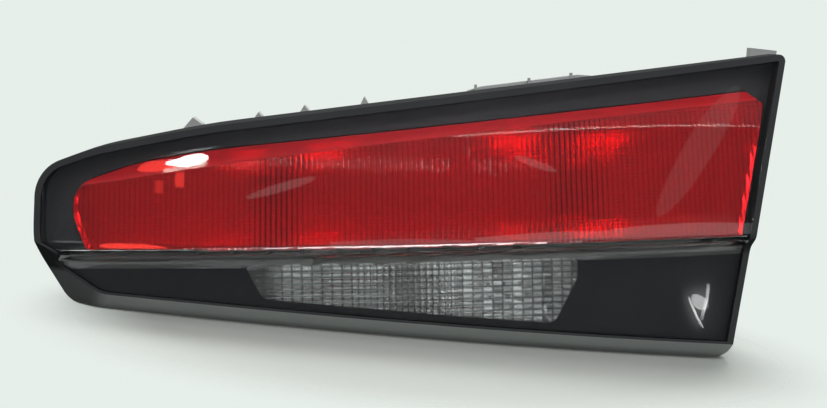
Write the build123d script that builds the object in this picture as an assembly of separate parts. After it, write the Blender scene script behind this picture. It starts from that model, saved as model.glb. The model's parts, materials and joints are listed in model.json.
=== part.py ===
from build123d import *
import os
from math import cos, radians, sqrt, tan

# Right-hand tail light cluster for a hatchback's tailgate, in millimetres.
# +Z is up on the car, the lens faces -Y and +X points outboard. The origin is the
# seat of the centre mounting stud on the back of the housing.

# Outline of the lens from behind the car: corner places and radii
NOSE_X = -181.0
NOSE_LOW_Z = -44.0
NOSE_LOW_RADIUS = 60.0
NOSE_HIGH_Z = -10.5
NOSE_HIGH_RADIUS = 17.0
SHOULDER_X = -155.0
SHOULDER_Z = -1.4
SHOULDER_RADIUS = 120.0
KNEE_X = -104.0
KNEE_Z = 7.6
KNEE_RADIUS = 400.0
END_TOP_X = 171.0
END_TOP_Z = 36.0
END_TOP_RADIUS = 3.0
END_MID_X = 150.0
END_MID_Z = -48.0
END_MID_RADIUS = 200.0
END_LOW_X = 138.5
END_LOW_Z = -106.6
END_LOW_RADIUS = 6.0
CHIN_X = -170.5
CHIN_Z = -74.5
CHIN_RADIUS = 9.0
SMALLEST_RADIUS = 0.5

# Front of the lens in section: two faces that meet in a crease with a step under it
CREASE_Y = -101.0
CREASE_Z = -48.0
CREASE_RADIUS = 3.0
UPPER_LEAN = 18.0
STEP_BACK = 8.0
STEP_DROP = 5.0
STEP_RADIUS = 5.0
LOWER_TUCK = -3.0
PLAN_RADIUS = 870.0
PLAN_CENTRE_X = -38.0
LENS_WALL = 2.5
EDGE_BAND = 3.0
EDGE_SKIN = 1.0

# Bevel along the bottom of the lens and up the chin
BEVEL_RISE = 9.0
BEVEL_DEPTH = 14.0
BEVEL_SWAY = 0.35
BEVEL_CHIN_X = -151.5
BEVEL_CHIN_SLOPE = 0.83
BEVEL_CHIN_RADIUS = 14.0

# Parting plane between lens and housing
PARTING_Y = -38.5
PARTING_RISE = 0.0875
PARTING_RUN = 0.044

# Black bezel behind the lens
BEZEL_GAP = 0.8
BEZEL_WALL = 1.5
BEZEL_UPPER_DEPTH = 12.0
BEZEL_LOWER_DEPTH = 5.3
BEZEL_RIDGE_RADIUS = 4.0

# Red window and the fluted red lens in it
RED_NOSE_BORDER = 17.5
RED_NOSE_RAKE = 7.5
RED_NOSE_RISE = 17.0
RED_NOSE_BEND = 20.0
RED_TOP_BORDER = 11.0
RED_TOP_BORDER_END = 15.5
RED_END_BORDER = 6.2
RED_FLOOR_BORDER = 1.0
RED_CORNER_CUT = 8.0
RED_NOSE_RADIUS = 12.0
RED_CORNER_RADIUS = 2.5
RED_CLEARANCE = 0.3
RED_FRONT_GAP = 2.2
RED_FOOT_GAP = 1.0
RED_WALL = 2.2
RED_DEPTH = 15.0
FACET_NOSE_DROP = 6.0
FACET_MID_X = 20.0
FACET_MID_DROP = 7.0
FACET_END_DROP = 14.5
FACET_SLOPE = 0.95
WEDGE_MID_X = 95.0
WEDGE_MID_DROP = 12.8
WEDGE_END_DROP = 23.5
WEDGE_SLOPE = 1.7
FLUTE_PITCH = 2.4
FLUTE_RISE = 0.25
RED_ROW = 1.6
RED_ROW_RISE = 0.15

# Reversing window and its pillow-optic lens
REVERSE_LEFT_X = -85.5
REVERSE_RIGHT_X = 67.5
REVERSE_TOP_BORDER = 6.5
REVERSE_LEFT_RAKE = 8.5
REVERSE_RIGHT_RAKE = 11.0
REVERSE_RIGHT_DROP = 10.0
REVERSE_LOW_BORDER = 13.0
REVERSE_RADIUS = 5.0
REVERSE_CLEARANCE = 0.3
REVERSE_RECESS = 0.6
REVERSE_LIP = 2.5
REVERSE_LIP_WALL = 1.5
PILLOW_ROW = 2.8
PILLOW_ROW_RISE = 0.3
PILLOW_COLUMN = 4.6
PILLOW_COLUMN_RISE = 0.8
BLOCK_COLUMN = 2.9
BLOCK_LEFT_X = -36.0
BLOCK_RIGHT_X = 12.0
BLOCK_PROUD = 1.0
BLOCK_LOW_BORDER = 3.0
BLOCK_RADIUS = 4.0

# Metallised reflector
TRAY_WALL = 1.8
TRAY_LIP_EDGE = 0.5
DISH_FLOOR_Y = -22.0
DISH_FOCUS_WIDE = 70.0
DISH_FOCUS_HIGH = 24.0
DISH_FACET = 12.0
DISH_BULGE = 0.7
RIM_INSET = 6.0
RIM_WALL = 2.0
BULB_HOLE_CLEARANCE = 1.1

# Housing
FLANGE_SETBACK = 0.4
FLANGE_WALL = 3.0
HOUSING_INSET = 6.4
HOUSING_WALL = 2.6
HOUSING_DRAFT = 2.5
BACK_Y = -3.0
RIB_PLACES = (23.7, 49.7, 70.2)
RIB_WALL = 1.2
RIB_PROUD = 2.6
RIB_LENGTH = 20.0
TABS = ((-112.7, 9.0, 4.2), (-81.3, 3.4, 2.2), (-59.2, 4.0, 2.8), (-30.3, 3.6, 3.4))
TAB_LENGTH = 9.0
LAND_LEFT_X = 20.0
LAND_RIGHT_X = 80.0
LAND_PROUD = 1.2
BACK_RIB_PLACES = (-150.0, -138.0, -104.0, 108.0, 130.0, 140.0)
BACK_RIB_WALL = 1.6
BACK_RIB_PROUD = 1.8
GUSSET_REACH = 13.0
EAR_LENGTH = 13.5
EAR_HEIGHT = 4.0
EAR_TIP = 1.0
EAR_DEPTH = 10.0
FOOT_X = 113.0
FOOT_WIDTH = 18.0
FOOT_PROUD = 4.0
FOOT_LENGTH = 9.0

# Fixings on the back
STUD_PLACES = ((0.0, 0.0), (-120.0, -35.0), (118.0, -32.0))
STUD_RADIUS = 3.0
STUD_LENGTH = 20.0
STUD_ROOT_RADIUS = 4.0
STUD_GRIP = 11.0
STUD_TIP = 0.8
BOSS_RADIUS = 7.0
BOSS_DEPTH = 14.0
PEG_PLACE = (100.0, -74.0)
PEG_RADIUS = 4.0
PEG_LENGTH = 12.0
VENT_PLACE = (96.0, 4.0)
VENT_RADIUS = 4.0
VENT_BORE_RADIUS = 2.0
VENT_LENGTH = 6.0
VENT_CAP_WALL = 1.6

# Bulb carrier, its gasket, its contacts and its connector
TAIL_BULB = (-70.0, -27.0)
STOP_BULB = (67.0, -27.0)
REVERSE_BULB = (-12.0, -64.0)
CARRIER_RADIUS = 17.5
CARRIER_WALL = 3.0
CARRIER_HOLE_RADIUS = 12.5
GASKET_WALL = 2.0
GASKET_EDGE = 1.2
SOCKET_WALL = 2.4
SOCKET_DEPTH = 15.0
SOCKET_CLEARANCE = 0.2
CLIP_WALL = 2.4
CLIP_WIDTH = 12.0
CLIP_HOOK = 2.2
CLIP_CLEARANCE = 0.3
CLIP_TOP_X = 36.0
TRACK_WALL = 0.8
TRACK_WIDTH = 3.0
PLUG_Z = -36.0
PLUG_WIDTH = 30.0
PLUG_HEIGHT = 14.0
PLUG_DEPTH = 18.0
PLUG_WALL = 1.8
PIN_COUNT = 4
PIN_PITCH = 5.0
PIN_WIDTH = 2.8
PIN_WALL = 0.8
PIN_LENGTH = 8.0

# Bayonet bulbs
CAP_RADIUS = 7.5
CAP_LENGTH = 16.0
CAP_PIN_RADIUS = 1.0
CAP_PIN_PROUD = 1.0
CAP_PIN_HEIGHT = 8.0
BUTTON_RADIUS = 3.0
BUTTON_LENGTH = 2.0
GLASS_RADIUS = 12.3
REVERSE_GLASS_RADIUS = 9.2
GLASS_NECK_RADIUS = 6.6
GLASS_NECK_LENGTH = 6.7
GLASS_WALL = 0.8
GLASS_BLEND_RADIUS = 4.0
POST_RADIUS = 0.45
POST_SPREAD = 3.0
FILAMENT_HEIGHT = 15.0
FILAMENT_RADIUS = 0.7

# Construction room around the lamp
ROOM_FRONT_Y = -120.0
ROOM_BACK_Y = 10.0
ROOM_REAR_Y = 100.0
ROOM_TOP_Z = 80.0
ROOM_LOW_Z = -150.0
ROOM_SIDE_X = 260.0
PLAN_SWEEP = 38.0
DRAFT_FRONT_Y = -70.0


# Shared geometry

def meet(point, way, other_point, other_way):
    """Crossing of two straight lines in a plane."""
    turn = way[0] * other_way[1] - way[1] * other_way[0]
    gap = (other_point[0] - point[0], other_point[1] - point[1])
    along = (gap[0] * other_way[1] - gap[1] * other_way[0]) / turn
    return point[0] + way[0] * along, point[1] + way[1] * along


def inset_corners(corners, inset):
    """Counter-clockwise corners (x, z, radius) with every side moved inwards."""
    sides = []
    for corner, following in zip(corners, corners[1:] + corners[:1]):
        run = (following[0] - corner[0], following[1] - corner[1])
        length = sqrt(run[0] ** 2 + run[1] ** 2)
        way = (run[0] / length, run[1] / length)
        sides.append(((corner[0] - way[1] * inset, corner[1] + way[0] * inset), way))
    moved = []
    for corner, before, after in zip(corners, sides[-1:] + sides[:-1], sides):
        x, z = meet(before[0], before[1], after[0], after[1])
        convex = before[1][0] * after[1][1] > before[1][1] * after[1][0]
        radius = corner[2] - inset if convex else corner[2] + inset
        moved.append((x, z, max(radius, SMALLEST_RADIUS)))
    return moved


def rounded(corners):
    """Flat face with a rounded corner (u, v, radius) at each point."""
    points = [(u, v) for u, v, _ in corners]
    radii = [radius for _, _, radius in corners]
    return make_face(FilletPolyline(*points, radius=radii, close=True))


def outline(corners, inset=0.0):
    """Face in the XZ plane inside a closed outline, moved inwards by an inset."""
    return (Plane.XZ * rounded(inset_corners(corners, inset))).face()


def prism(face, front=ROOM_FRONT_Y, back=ROOM_BACK_Y):
    """Straight prism of a face in the XZ plane, between two depths."""
    return Solid.extrude(face.moved(Location((0, front, 0))), Vector(0, back - front, 0))


def rod(place, front, back, radius):
    """Round bar along Y at a place (x, z)."""
    disc = Plane.XZ * Pos(place[0], place[1]) * Circle(radius)
    return prism(disc.face(), front, back)


def block(x_span, y_span, z_span):
    """Box between pairs of coordinates."""
    size = [span[1] - span[0] for span in (x_span, y_span, z_span)]
    middle = [(span[0] + span[1]) / 2 for span in (x_span, y_span, z_span)]
    return Pos(*middle) * Box(*size)


def plan_sag(x):
    """How far the curved front lies behind its foremost point at x."""
    reach = x - PLAN_CENTRE_X
    return PLAN_RADIUS - sqrt(PLAN_RADIUS ** 2 - reach ** 2)


def turned(section):
    """Section face swept round the upright axis of the lens's plan curve."""
    axis = Axis((PLAN_CENTRE_X, CREASE_Y + PLAN_RADIUS, 0), (0, 0, 1))
    return revolve(section.rotate(axis, -PLAN_SWEEP / 2), axis, PLAN_SWEEP)


def upper_line(depth):
    """Point and direction (y, z) of the upper face's section, moved in by a depth."""
    return (CREASE_Y + depth / cos(radians(UPPER_LEAN)), CREASE_Z), (tan(radians(UPPER_LEAN)), 1)


def lower_line(depth):
    """Point and direction (y, z) of the lower face's section, moved in by a depth."""
    start = CREASE_Y + STEP_BACK + depth / cos(radians(LOWER_TUCK))
    return (start, CREASE_Z - STEP_DROP), (-tan(radians(LOWER_TUCK)), 1)


def step_line(depth):
    """Point and direction (y, z) of the step under the crease, moved in by a depth."""
    length = sqrt(STEP_BACK ** 2 + STEP_DROP ** 2)
    point = (CREASE_Y + depth * STEP_DROP / length, CREASE_Z + depth * STEP_BACK / length)
    return point, (STEP_BACK, -STEP_DROP)


def line_at(line, z):
    """Depth y at which a section line passes a height."""
    return line[0][0] + line[1][0] * (z - line[0][1])


def behind(upper, lower, middle):
    """Room behind a folded front: section corners between an upper and a lower line."""
    front = [(line_at(upper, ROOM_TOP_Z), ROOM_TOP_Z, 0)]
    front += middle
    front += [(line_at(lower, ROOM_LOW_Z), ROOM_LOW_Z, 0)]
    corners = front + [(ROOM_BACK_Y, ROOM_LOW_Z, 0), (ROOM_BACK_Y, ROOM_TOP_Z, 0)]
    return turned((Plane.YZ.offset(PLAN_CENTRE_X) * rounded(corners)).face())


def parting_plane(depth=0.0):
    """Plane where the lens meets the housing, moved back by a depth."""
    normal = Vector(-PARTING_RUN, 1, -PARTING_RISE).normalized()
    return Plane(Vector(0, PARTING_Y, 0) + normal * depth, x_dir=(1, PARTING_RUN, 0), z_dir=normal)


def parting_y(x, z):
    """Depth of the parting plane at a place."""
    return PARTING_Y + PARTING_RISE * z + PARTING_RUN * x


def in_front(solid, depth=0.0):
    """The part of a solid in front of the parting plane."""
    return split(solid, bisect_by=parting_plane(depth), keep=Keep.BOTTOM)


def beyond(solid, depth=0.0):
    """The part of a solid behind the parting plane."""
    return split(solid, bisect_by=parting_plane(depth), keep=Keep.TOP)


# Outlines in front view

LENS = [
    (CHIN_X, CHIN_Z, CHIN_RADIUS),
    (END_LOW_X, END_LOW_Z, END_LOW_RADIUS),
    (END_MID_X, END_MID_Z, END_MID_RADIUS),
    (END_TOP_X, END_TOP_Z, END_TOP_RADIUS),
    (KNEE_X, KNEE_Z, KNEE_RADIUS),
    (SHOULDER_X, SHOULDER_Z, SHOULDER_RADIUS),
    (NOSE_X, NOSE_HIGH_Z, NOSE_HIGH_RADIUS),
    (NOSE_X, NOSE_LOW_Z, NOSE_LOW_RADIUS),
]


def between(x, start, end):
    """Height of the straight line through two corners at x."""
    return start[1] + (end[1] - start[1]) * (x - start[0]) / (end[0] - start[0])


def top_z(x):
    """Height of the lens's top edge at x."""
    corners = [LENS[5], LENS[4], LENS[3]]
    low = corners[:2] if x < KNEE_X else corners[1:]
    return between(x, low[0], low[1])


def bottom_z(x):
    """Height of the lens's bottom edge at x."""
    return between(x, LENS[0], LENS[1])


def end_x(z):
    """Place of the lens's outboard end at height z."""
    low, high = (LENS[2], LENS[3]) if z > END_MID_Z else (LENS[1], LENS[2])
    return low[0] + (high[0] - low[0]) * (z - low[1]) / (high[1] - low[1])


def red_window():
    """Corners of the red window in the bezel."""
    floor = CREASE_Z - RED_FLOOR_BORDER
    nose = NOSE_X + RED_NOSE_BORDER
    corner_z = END_TOP_Z - RED_TOP_BORDER_END - RED_CORNER_CUT
    corner_x = end_x(corner_z) - RED_END_BORDER
    cut_x = corner_x - RED_CORNER_CUT
    knee = (KNEE_X, KNEE_Z - RED_TOP_BORDER)
    shoulder = (SHOULDER_X + RED_NOSE_BORDER, top_z(SHOULDER_X + RED_NOSE_BORDER) - RED_TOP_BORDER)
    nose_z = shoulder[1] - (shoulder[0] - nose) * (SHOULDER_Z - NOSE_HIGH_Z) / (SHOULDER_X - NOSE_X)
    return [
        (nose + RED_NOSE_RAKE, floor, RED_CORNER_RADIUS),
        (end_x(floor) - RED_END_BORDER, floor, RED_CORNER_RADIUS),
        (corner_x, corner_z, RED_CORNER_RADIUS),
        (cut_x, top_z(cut_x) - RED_TOP_BORDER_END, RED_CORNER_RADIUS),
        (knee[0], knee[1], KNEE_RADIUS),
        (shoulder[0], shoulder[1], SHOULDER_RADIUS),
        (nose, nose_z, RED_NOSE_RADIUS),
        (nose, floor + RED_NOSE_RISE, RED_NOSE_BEND),
    ]


def reverse_window():
    """Corners of the reversing window in the bezel."""
    top = CREASE_Z - REVERSE_TOP_BORDER
    left = REVERSE_LEFT_X + REVERSE_LEFT_RAKE
    right = REVERSE_RIGHT_X - REVERSE_RIGHT_RAKE
    return [
        (left, bottom_z(left) + REVERSE_LOW_BORDER, REVERSE_RADIUS),
        (right, bottom_z(right) + REVERSE_LOW_BORDER, REVERSE_RADIUS),
        (REVERSE_RIGHT_X, top - REVERSE_RIGHT_DROP, REVERSE_RADIUS),
        (REVERSE_RIGHT_X, top, REVERSE_RADIUS / 2),
        (REVERSE_LEFT_X, top, REVERSE_RADIUS / 2),
    ]


RED_WINDOW = red_window()
REVERSE_WINDOW = reverse_window()


# Cover lens and bezel

def bevel_start(x, inset):
    """Point (x, z) in the plane of the crease from which the bottom bevel runs back at x."""
    slope = BEVEL_RISE / BEVEL_DEPTH
    height = bottom_z(x) + BEVEL_RISE + inset * sqrt(1 + slope ** 2)
    depth = line_at(lower_line(0), height) + plan_sag(x) - CREASE_Y
    return x + BEVEL_SWAY * depth, height + slope * depth


def bevel_room(inset):
    """Room above the bottom bevel, an oblique prism whose edge follows the plan curve."""
    chin = bevel_start(BEVEL_CHIN_X + inset / 2, inset)
    middle = bevel_start(PLAN_CENTRE_X, inset)
    end = bevel_start(END_TOP_X, inset)
    far = (-ROOM_SIDE_X, chin[1] + BEVEL_CHIN_SLOPE * (chin[0] + ROOM_SIDE_X))
    outboard = [end, (ROOM_SIDE_X, end[1]), (ROOM_SIDE_X, ROOM_SIDE_X)]
    corners = outboard + [(-ROOM_SIDE_X, ROOM_SIDE_X), far, chin]
    face = make_face([ThreePointArc(chin, middle, end)] + Polyline(*corners).edges())
    corner = face.vertices().sort_by_distance((chin[0], chin[1], 0))[0]
    face = (Plane.XZ * fillet(corner, BEVEL_CHIN_RADIUS + inset)).face()
    way = Vector(-BEVEL_SWAY, 1, -BEVEL_RISE / BEVEL_DEPTH)
    start = Vector(0, CREASE_Y, 0) - way * STEP_BACK
    return Solid.extrude(face.moved(Location(start)), way * (ROOM_BACK_Y - start.Y))


def lens_room(inset):
    """Solid inside the lens's outer skin, moved inwards by an inset."""
    upper, step, lower = upper_line(inset), step_line(inset), lower_line(inset)
    crease = meet(upper[0], upper[1], step[0], step[1])
    foot = meet(step[0], step[1], lower[0], lower[1])
    middle = [(crease[0], crease[1], CREASE_RADIUS - inset), (foot[0], foot[1], STEP_RADIUS + inset)]
    return prism(outline(LENS, inset)) & behind(upper, lower, middle) & bevel_room(inset)


def face_room():
    """Room of the clear face, inside the black band round the lens's edge."""
    return prism(outline(LENS, EDGE_BAND)) & bevel_room(EDGE_SKIN)


def outer_lens():
    """Clear face of the cover."""
    return in_front(lens_room(0) - lens_room(LENS_WALL)) & face_room()


def lens_rim():
    """Black rim moulded round the clear face: side walls and bottom bevel."""
    return in_front(lens_room(0) - lens_room(LENS_WALL)) - face_room()


def bezel_room(inset):
    """Solid inside the bezel's outer skin, moved inwards by an inset."""
    upper, lower = upper_line(BEZEL_UPPER_DEPTH + inset), lower_line(BEZEL_LOWER_DEPTH + inset)
    ridge = meet(upper[0], upper[1], lower[0], lower[1])
    middle = [(ridge[0], ridge[1], max(BEZEL_RIDGE_RADIUS - inset, SMALLEST_RADIUS))]
    edge = LENS_WALL + BEZEL_GAP + inset
    return prism(outline(LENS, edge)) & behind(upper, lower, middle) & bevel_room(edge)


def inner_bezel():
    """Black trim with the red and the reversing window."""
    shell = bezel_room(0) - bezel_room(BEZEL_WALL)
    shell = shell - prism(outline(RED_WINDOW)) - prism(outline(REVERSE_WINDOW))
    return in_front(shell)


# Inner lenses

def steps(start, end, pitch):
    """Evenly spaced places from start to end, about a pitch apart."""
    count = round((end - start) / pitch)
    return [start + (end - start) * i / count for i in range(count + 1)]


def upright_edge(front_y, places, rise):
    """Plan edge of a curved front: an arc between neighbouring places, each raised backwards."""
    arcs = []
    for start, end in zip(places, places[1:]):
        middle = (start + end) / 2
        crest = (middle, front_y + plan_sag(middle) + rise)
        arcs.append(
            ThreePointArc((start, front_y + plan_sag(start)), crest, (end, front_y + plan_sag(end)))
        )
    return arcs


SIDES = [-ROOM_SIDE_X, ROOM_SIDE_X]


def leaning_room(line, places=SIDES, rise=0.0):
    """Room behind a curved front that leans along a section line, with flutes between places."""
    edge = upright_edge(line_at(line, ROOM_LOW_Z), places, rise)
    start, end = edge[0] @ 0, edge[-1] @ 1
    back = Polyline(end, (ROOM_SIDE_X, ROOM_REAR_Y), (-ROOM_SIDE_X, ROOM_REAR_Y), start)
    face = make_face(edge + back.edges()).face()
    span = ROOM_TOP_Z - ROOM_LOW_Z
    return Solid.extrude(face.moved(Location((0, 0, ROOM_LOW_Z))), Vector(0, line[1][0] * span, span))


def facet_start(x, drop, slope, inset):
    """Point (x, z) in the plane of the crease from which a flank of the red lens runs back."""
    height = top_z(x) - RED_TOP_BORDER - drop - inset * sqrt(1 + slope ** 2)
    depth = line_at(upper_line(RED_FRONT), height) + plan_sag(x) - CREASE_Y
    return x, height - slope * depth


def facet_room(places, slope, inset):
    """Room under a slanted flank of the red lens, through three places (x, drop) on its front."""
    nose, middle, end = [facet_start(x, drop, slope, inset) for x, drop in places]
    arc = ThreePointArc(nose, middle, end)
    far = (-ROOM_SIDE_X, nose[1] - (nose[0] + ROOM_SIDE_X) * (arc % 0).Y / (arc % 0).X)
    outboard = [end, (ROOM_SIDE_X, end[1]), (ROOM_SIDE_X, -ROOM_SIDE_X)]
    corners = outboard + [(-ROOM_SIDE_X, -ROOM_SIDE_X), far, nose]
    face = (Plane.XZ * make_face([arc] + Polyline(*corners).edges())).face()
    way = Vector(0, 1, slope)
    start = Vector(0, CREASE_Y, 0) - way * STEP_BACK
    return Solid.extrude(face.moved(Location(start)), way * (ROOM_BACK_Y - start.Y))


def step_room(depth):
    """Room above the step under the crease, moved in by a depth."""
    point, way = step_line(depth)
    slope = way[1] / way[0]
    low = (ROOM_BACK_Y, point[1] + slope * (ROOM_BACK_Y - point[0]))
    high = (ROOM_FRONT_Y, point[1] + slope * (ROOM_FRONT_Y - point[0]))
    corners = [high, low, (ROOM_BACK_Y, ROOM_TOP_Z), (ROOM_FRONT_Y, ROOM_TOP_Z)]
    return turned((Plane.YZ.offset(PLAN_CENTRE_X) * make_face(Polyline(*corners, close=True))).face())


FLANK = [
    (SHOULDER_X + RED_NOSE_BORDER, FACET_NOSE_DROP),
    (FACET_MID_X, FACET_MID_DROP),
    (END_TOP_X, FACET_END_DROP),
]
WEDGE = [(FACET_MID_X, FACET_MID_DROP), (WEDGE_MID_X, WEDGE_MID_DROP), (END_TOP_X, WEDGE_END_DROP)]
RED_FRONT = LENS_WALL + RED_FRONT_GAP
RED_BACK = RED_FRONT + RED_DEPTH
REVERSE_BACK = BEZEL_LOWER_DEPTH + BEZEL_WALL + REVERSE_CLEARANCE + REVERSE_LIP_WALL


def rows_room(line, heights, rise):
    """Room behind a front of round-topped rows along a section line."""
    rows = []
    for low, high in zip(heights, heights[1:]):
        middle = (low + high) / 2
        crest = (line_at(line, middle) - rise, middle)
        rows.append(ThreePointArc((line_at(line, low), low), crest, (line_at(line, high), high)))
    start, end = rows[0] @ 0, rows[-1] @ 1
    back = Polyline(end, (ROOM_BACK_Y, heights[-1]), (ROOM_BACK_Y, heights[0]), start)
    return turned((Plane.YZ.offset(PLAN_CENTRE_X) * make_face(rows + back.edges())).face())


def red_inner_lens():
    """Red lens: a tray with slanted flanks on top, flutes on its face and rows on the inside."""
    foot = LENS_WALL + RED_FOOT_GAP
    flutes = leaning_room(upper_line(RED_FRONT), steps(*SIDES, FLUTE_PITCH), -FLUTE_RISE)
    skin = prism(outline(RED_WINDOW, RED_CLEARANCE)) & flutes & step_room(foot)
    skin = skin & facet_room(FLANK, FACET_SLOPE, 0) & facet_room(WEDGE, WEDGE_SLOPE, 0)
    heights = steps(CREASE_Z - STEP_DROP, END_TOP_Z, RED_ROW)
    inside = prism(outline(RED_WINDOW, RED_CLEARANCE + RED_WALL))
    hollow = inside & rows_room(upper_line(RED_FRONT + RED_WALL), heights, RED_ROW_RISE)
    hollow = hollow & step_room(foot + RED_WALL)
    hollow = hollow & facet_room(FLANK, FACET_SLOPE, RED_WALL) & facet_room(WEDGE, WEDGE_SLOPE, RED_WALL)
    return skin - hollow - leaning_room(upper_line(RED_BACK))


def reverse_inner_lens():
    """Clear lens: rows in front, columns behind, a raised block and a lip behind the bezel."""
    front = BEZEL_LOWER_DEPTH + REVERSE_RECESS
    heights = steps(ROOM_LOW_Z, CREASE_Z, PILLOW_ROW)
    places = steps(-ROOM_SIDE_X, BLOCK_LEFT_X, PILLOW_COLUMN)
    places += steps(BLOCK_LEFT_X, BLOCK_RIGHT_X, BLOCK_COLUMN)[1:]
    places += steps(BLOCK_RIGHT_X, ROOM_SIDE_X, PILLOW_COLUMN)[1:]
    columns = leaning_room(lower_line(REVERSE_BACK - PILLOW_COLUMN_RISE), places, PILLOW_COLUMN_RISE)
    plate = prism(outline(REVERSE_WINDOW, REVERSE_CLEARANCE))
    plate = plate & rows_room(lower_line(front), heights, PILLOW_ROW_RISE)
    top = CREASE_Z - REVERSE_TOP_BORDER
    corners = [
        (BLOCK_LEFT_X, bottom_z(BLOCK_LEFT_X) + REVERSE_LOW_BORDER + BLOCK_LOW_BORDER, BLOCK_RADIUS),
        (BLOCK_RIGHT_X, bottom_z(BLOCK_RIGHT_X) + REVERSE_LOW_BORDER + BLOCK_LOW_BORDER, BLOCK_RADIUS),
        (BLOCK_RIGHT_X, top - REVERSE_CLEARANCE, SMALLEST_RADIUS),
        (BLOCK_LEFT_X, top - REVERSE_CLEARANCE, SMALLEST_RADIUS),
    ]
    raised = prism(outline(corners)) & rows_room(lower_line(front - BLOCK_PROUD), heights, PILLOW_ROW_RISE)
    lip = prism(outline(REVERSE_WINDOW, -REVERSE_LIP))
    lip = lip & leaning_room(lower_line(REVERSE_BACK - REVERSE_LIP_WALL))
    return plate + raised - columns + (lip - leaning_room(lower_line(REVERSE_BACK)))


# Reflector

BULBS = {"tail": TAIL_BULB, "stop": STOP_BULB, "reverse": REVERSE_BULB}
GLASS_RADII = {"tail": GLASS_RADIUS, "stop": GLASS_RADIUS, "reverse": REVERSE_GLASS_RADIUS}


def dish_floor(reach, focus):
    """Depth of a bulb's dish at a reach from its axis."""
    return DISH_FLOOR_Y - reach ** 2 / (4 * focus)


def dish_points(bulbs, start, end, focus):
    """Facet corners (place, y) of a row of dishes, from start to end."""
    places = steps(start, end, DISH_FACET)
    return [(place, max(dish_floor(place - bulb, focus) for bulb in bulbs)) for place in places]


def strips(points):
    """Arcs between facet corners (x, y), each bulging to the front."""
    arcs = []
    for start, end in zip(points, points[1:]):
        crest = ((start[0] + end[0]) / 2, (start[1] + end[1]) / 2 - DISH_BULGE)
        arcs.append(ThreePointArc(start, crest, end))
    return arcs


def dish_room(bulbs, corners, back):
    """Room in front of the faceted dishes of a window, with the floor moved back."""
    xs, zs = [corner[0] for corner in corners], [corner[1] for corner in corners]
    wide = [(x, y + back) for x, y in dish_points([b[0] for b in bulbs], min(xs), max(xs), DISH_FOCUS_WIDE)]
    sides = Polyline(wide[-1], (max(xs), ROOM_FRONT_Y), (min(xs), ROOM_FRONT_Y), wide[0])
    high = [(y + back, z) for z, y in dish_points([b[1] for b in bulbs], min(zs), max(zs), DISH_FOCUS_HIGH)]
    high += [(ROOM_FRONT_Y, max(zs)), (ROOM_FRONT_Y, min(zs))]
    plan = make_face(strips(wide) + sides.edges()).face()
    side = (Plane.YZ * make_face(Polyline(*high, close=True))).face()
    upright = Solid.extrude(plan.moved(Location((0, 0, ROOM_LOW_Z))), Vector(0, 0, ROOM_TOP_Z - ROOM_LOW_Z))
    across = Solid.extrude(side.moved(Location((-ROOM_SIDE_X, 0, 0))), Vector(2 * ROOM_SIDE_X, 0, 0))
    return upright & across


def tray(bulbs, corners, inset, front, back):
    """Walls and floor of one reflector chamber, solid, with its floor moved back."""
    return (prism(outline(corners, inset)) & dish_room(bulbs, corners, back)) & front


def reflector():
    """Metallised reflector: a chamber behind each window on one rim plate."""
    fronts = leaning_room(upper_line(RED_BACK)), leaning_room(lower_line(REVERSE_BACK))
    red_bulbs, red_inset = [TAIL_BULB, STOP_BULB], RED_CLEARANCE
    clear_bulbs, clear_inset = [REVERSE_BULB], TRAY_LIP_EDGE - REVERSE_LIP
    rim = beyond(in_front(prism(outline(LENS, RIM_INSET))), -RIM_WALL)
    body = rim + tray(red_bulbs, RED_WINDOW, red_inset, fronts[0], TRAY_WALL)
    body = body + tray(clear_bulbs, REVERSE_WINDOW, clear_inset, fronts[1], TRAY_WALL)
    body = body - tray(red_bulbs, RED_WINDOW, red_inset + TRAY_WALL, fronts[0], 0)
    body = body - tray(clear_bulbs, REVERSE_WINDOW, clear_inset + TRAY_WALL, fronts[1], 0)
    for use, bulb in BULBS.items():
        radius = GLASS_RADII[use] + BULB_HOLE_CLEARANCE
        body = body - rod(bulb, DISH_FLOOR_Y - radius, ROOM_BACK_Y, radius)
    return body


# Housing

PLATE_Y = BACK_Y + GASKET_WALL
PLATE_BACK_Y = PLATE_Y + CARRIER_WALL


def drafted(inset, back):
    """Drafted body of the lamp's outline that narrows towards the back."""
    ends = []
    for y in (DRAFT_FRONT_Y, back):
        moved = inset + (y - PARTING_Y) * tan(radians(HOUSING_DRAFT))
        ends.append(outline(LENS, moved).moved(Location((0, y, 0))))
    return loft(ends, ruled=True)


def rib(x):
    """Upright gusset on the flange's top edge, thinning out along the housing."""
    top, front = top_z(x), parting_y(x, top_z(x)) + FLANGE_WALL / 2
    root = top - HOUSING_INSET - HOUSING_WALL
    corners = [
        (front, root),
        (front + RIB_LENGTH, root),
        (front + FLANGE_WALL, top + RIB_PROUD),
        (front, top + RIB_PROUD),
    ]
    face = (Plane.YZ.offset(x - RIB_WALL / 2) * make_face(Polyline(*corners, close=True))).face()
    return Solid.extrude(face, Vector(RIB_WALL, 0, 0))


def edge_block(corners, length):
    """Prism behind the flange of a front-view outline (x, z)."""
    face = (Plane.XZ * make_face(Polyline(*corners, close=True))).face()
    front = max(parting_y(x, z) for x, z in corners) + FLANGE_WALL / 2
    return prism(face, front, front + length)


def tab(x, width, proud):
    """Pointed tab on the flange's top edge."""
    left, right = x - width / 2, x + width / 2
    corners = [
        (left, top_z(left) - HOUSING_INSET),
        (right, top_z(right) - HOUSING_INSET),
        (right, top_z(right)),
        (x, top_z(x) + proud),
        (left, top_z(left)),
    ]
    return edge_block(corners, TAB_LENGTH)


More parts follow.
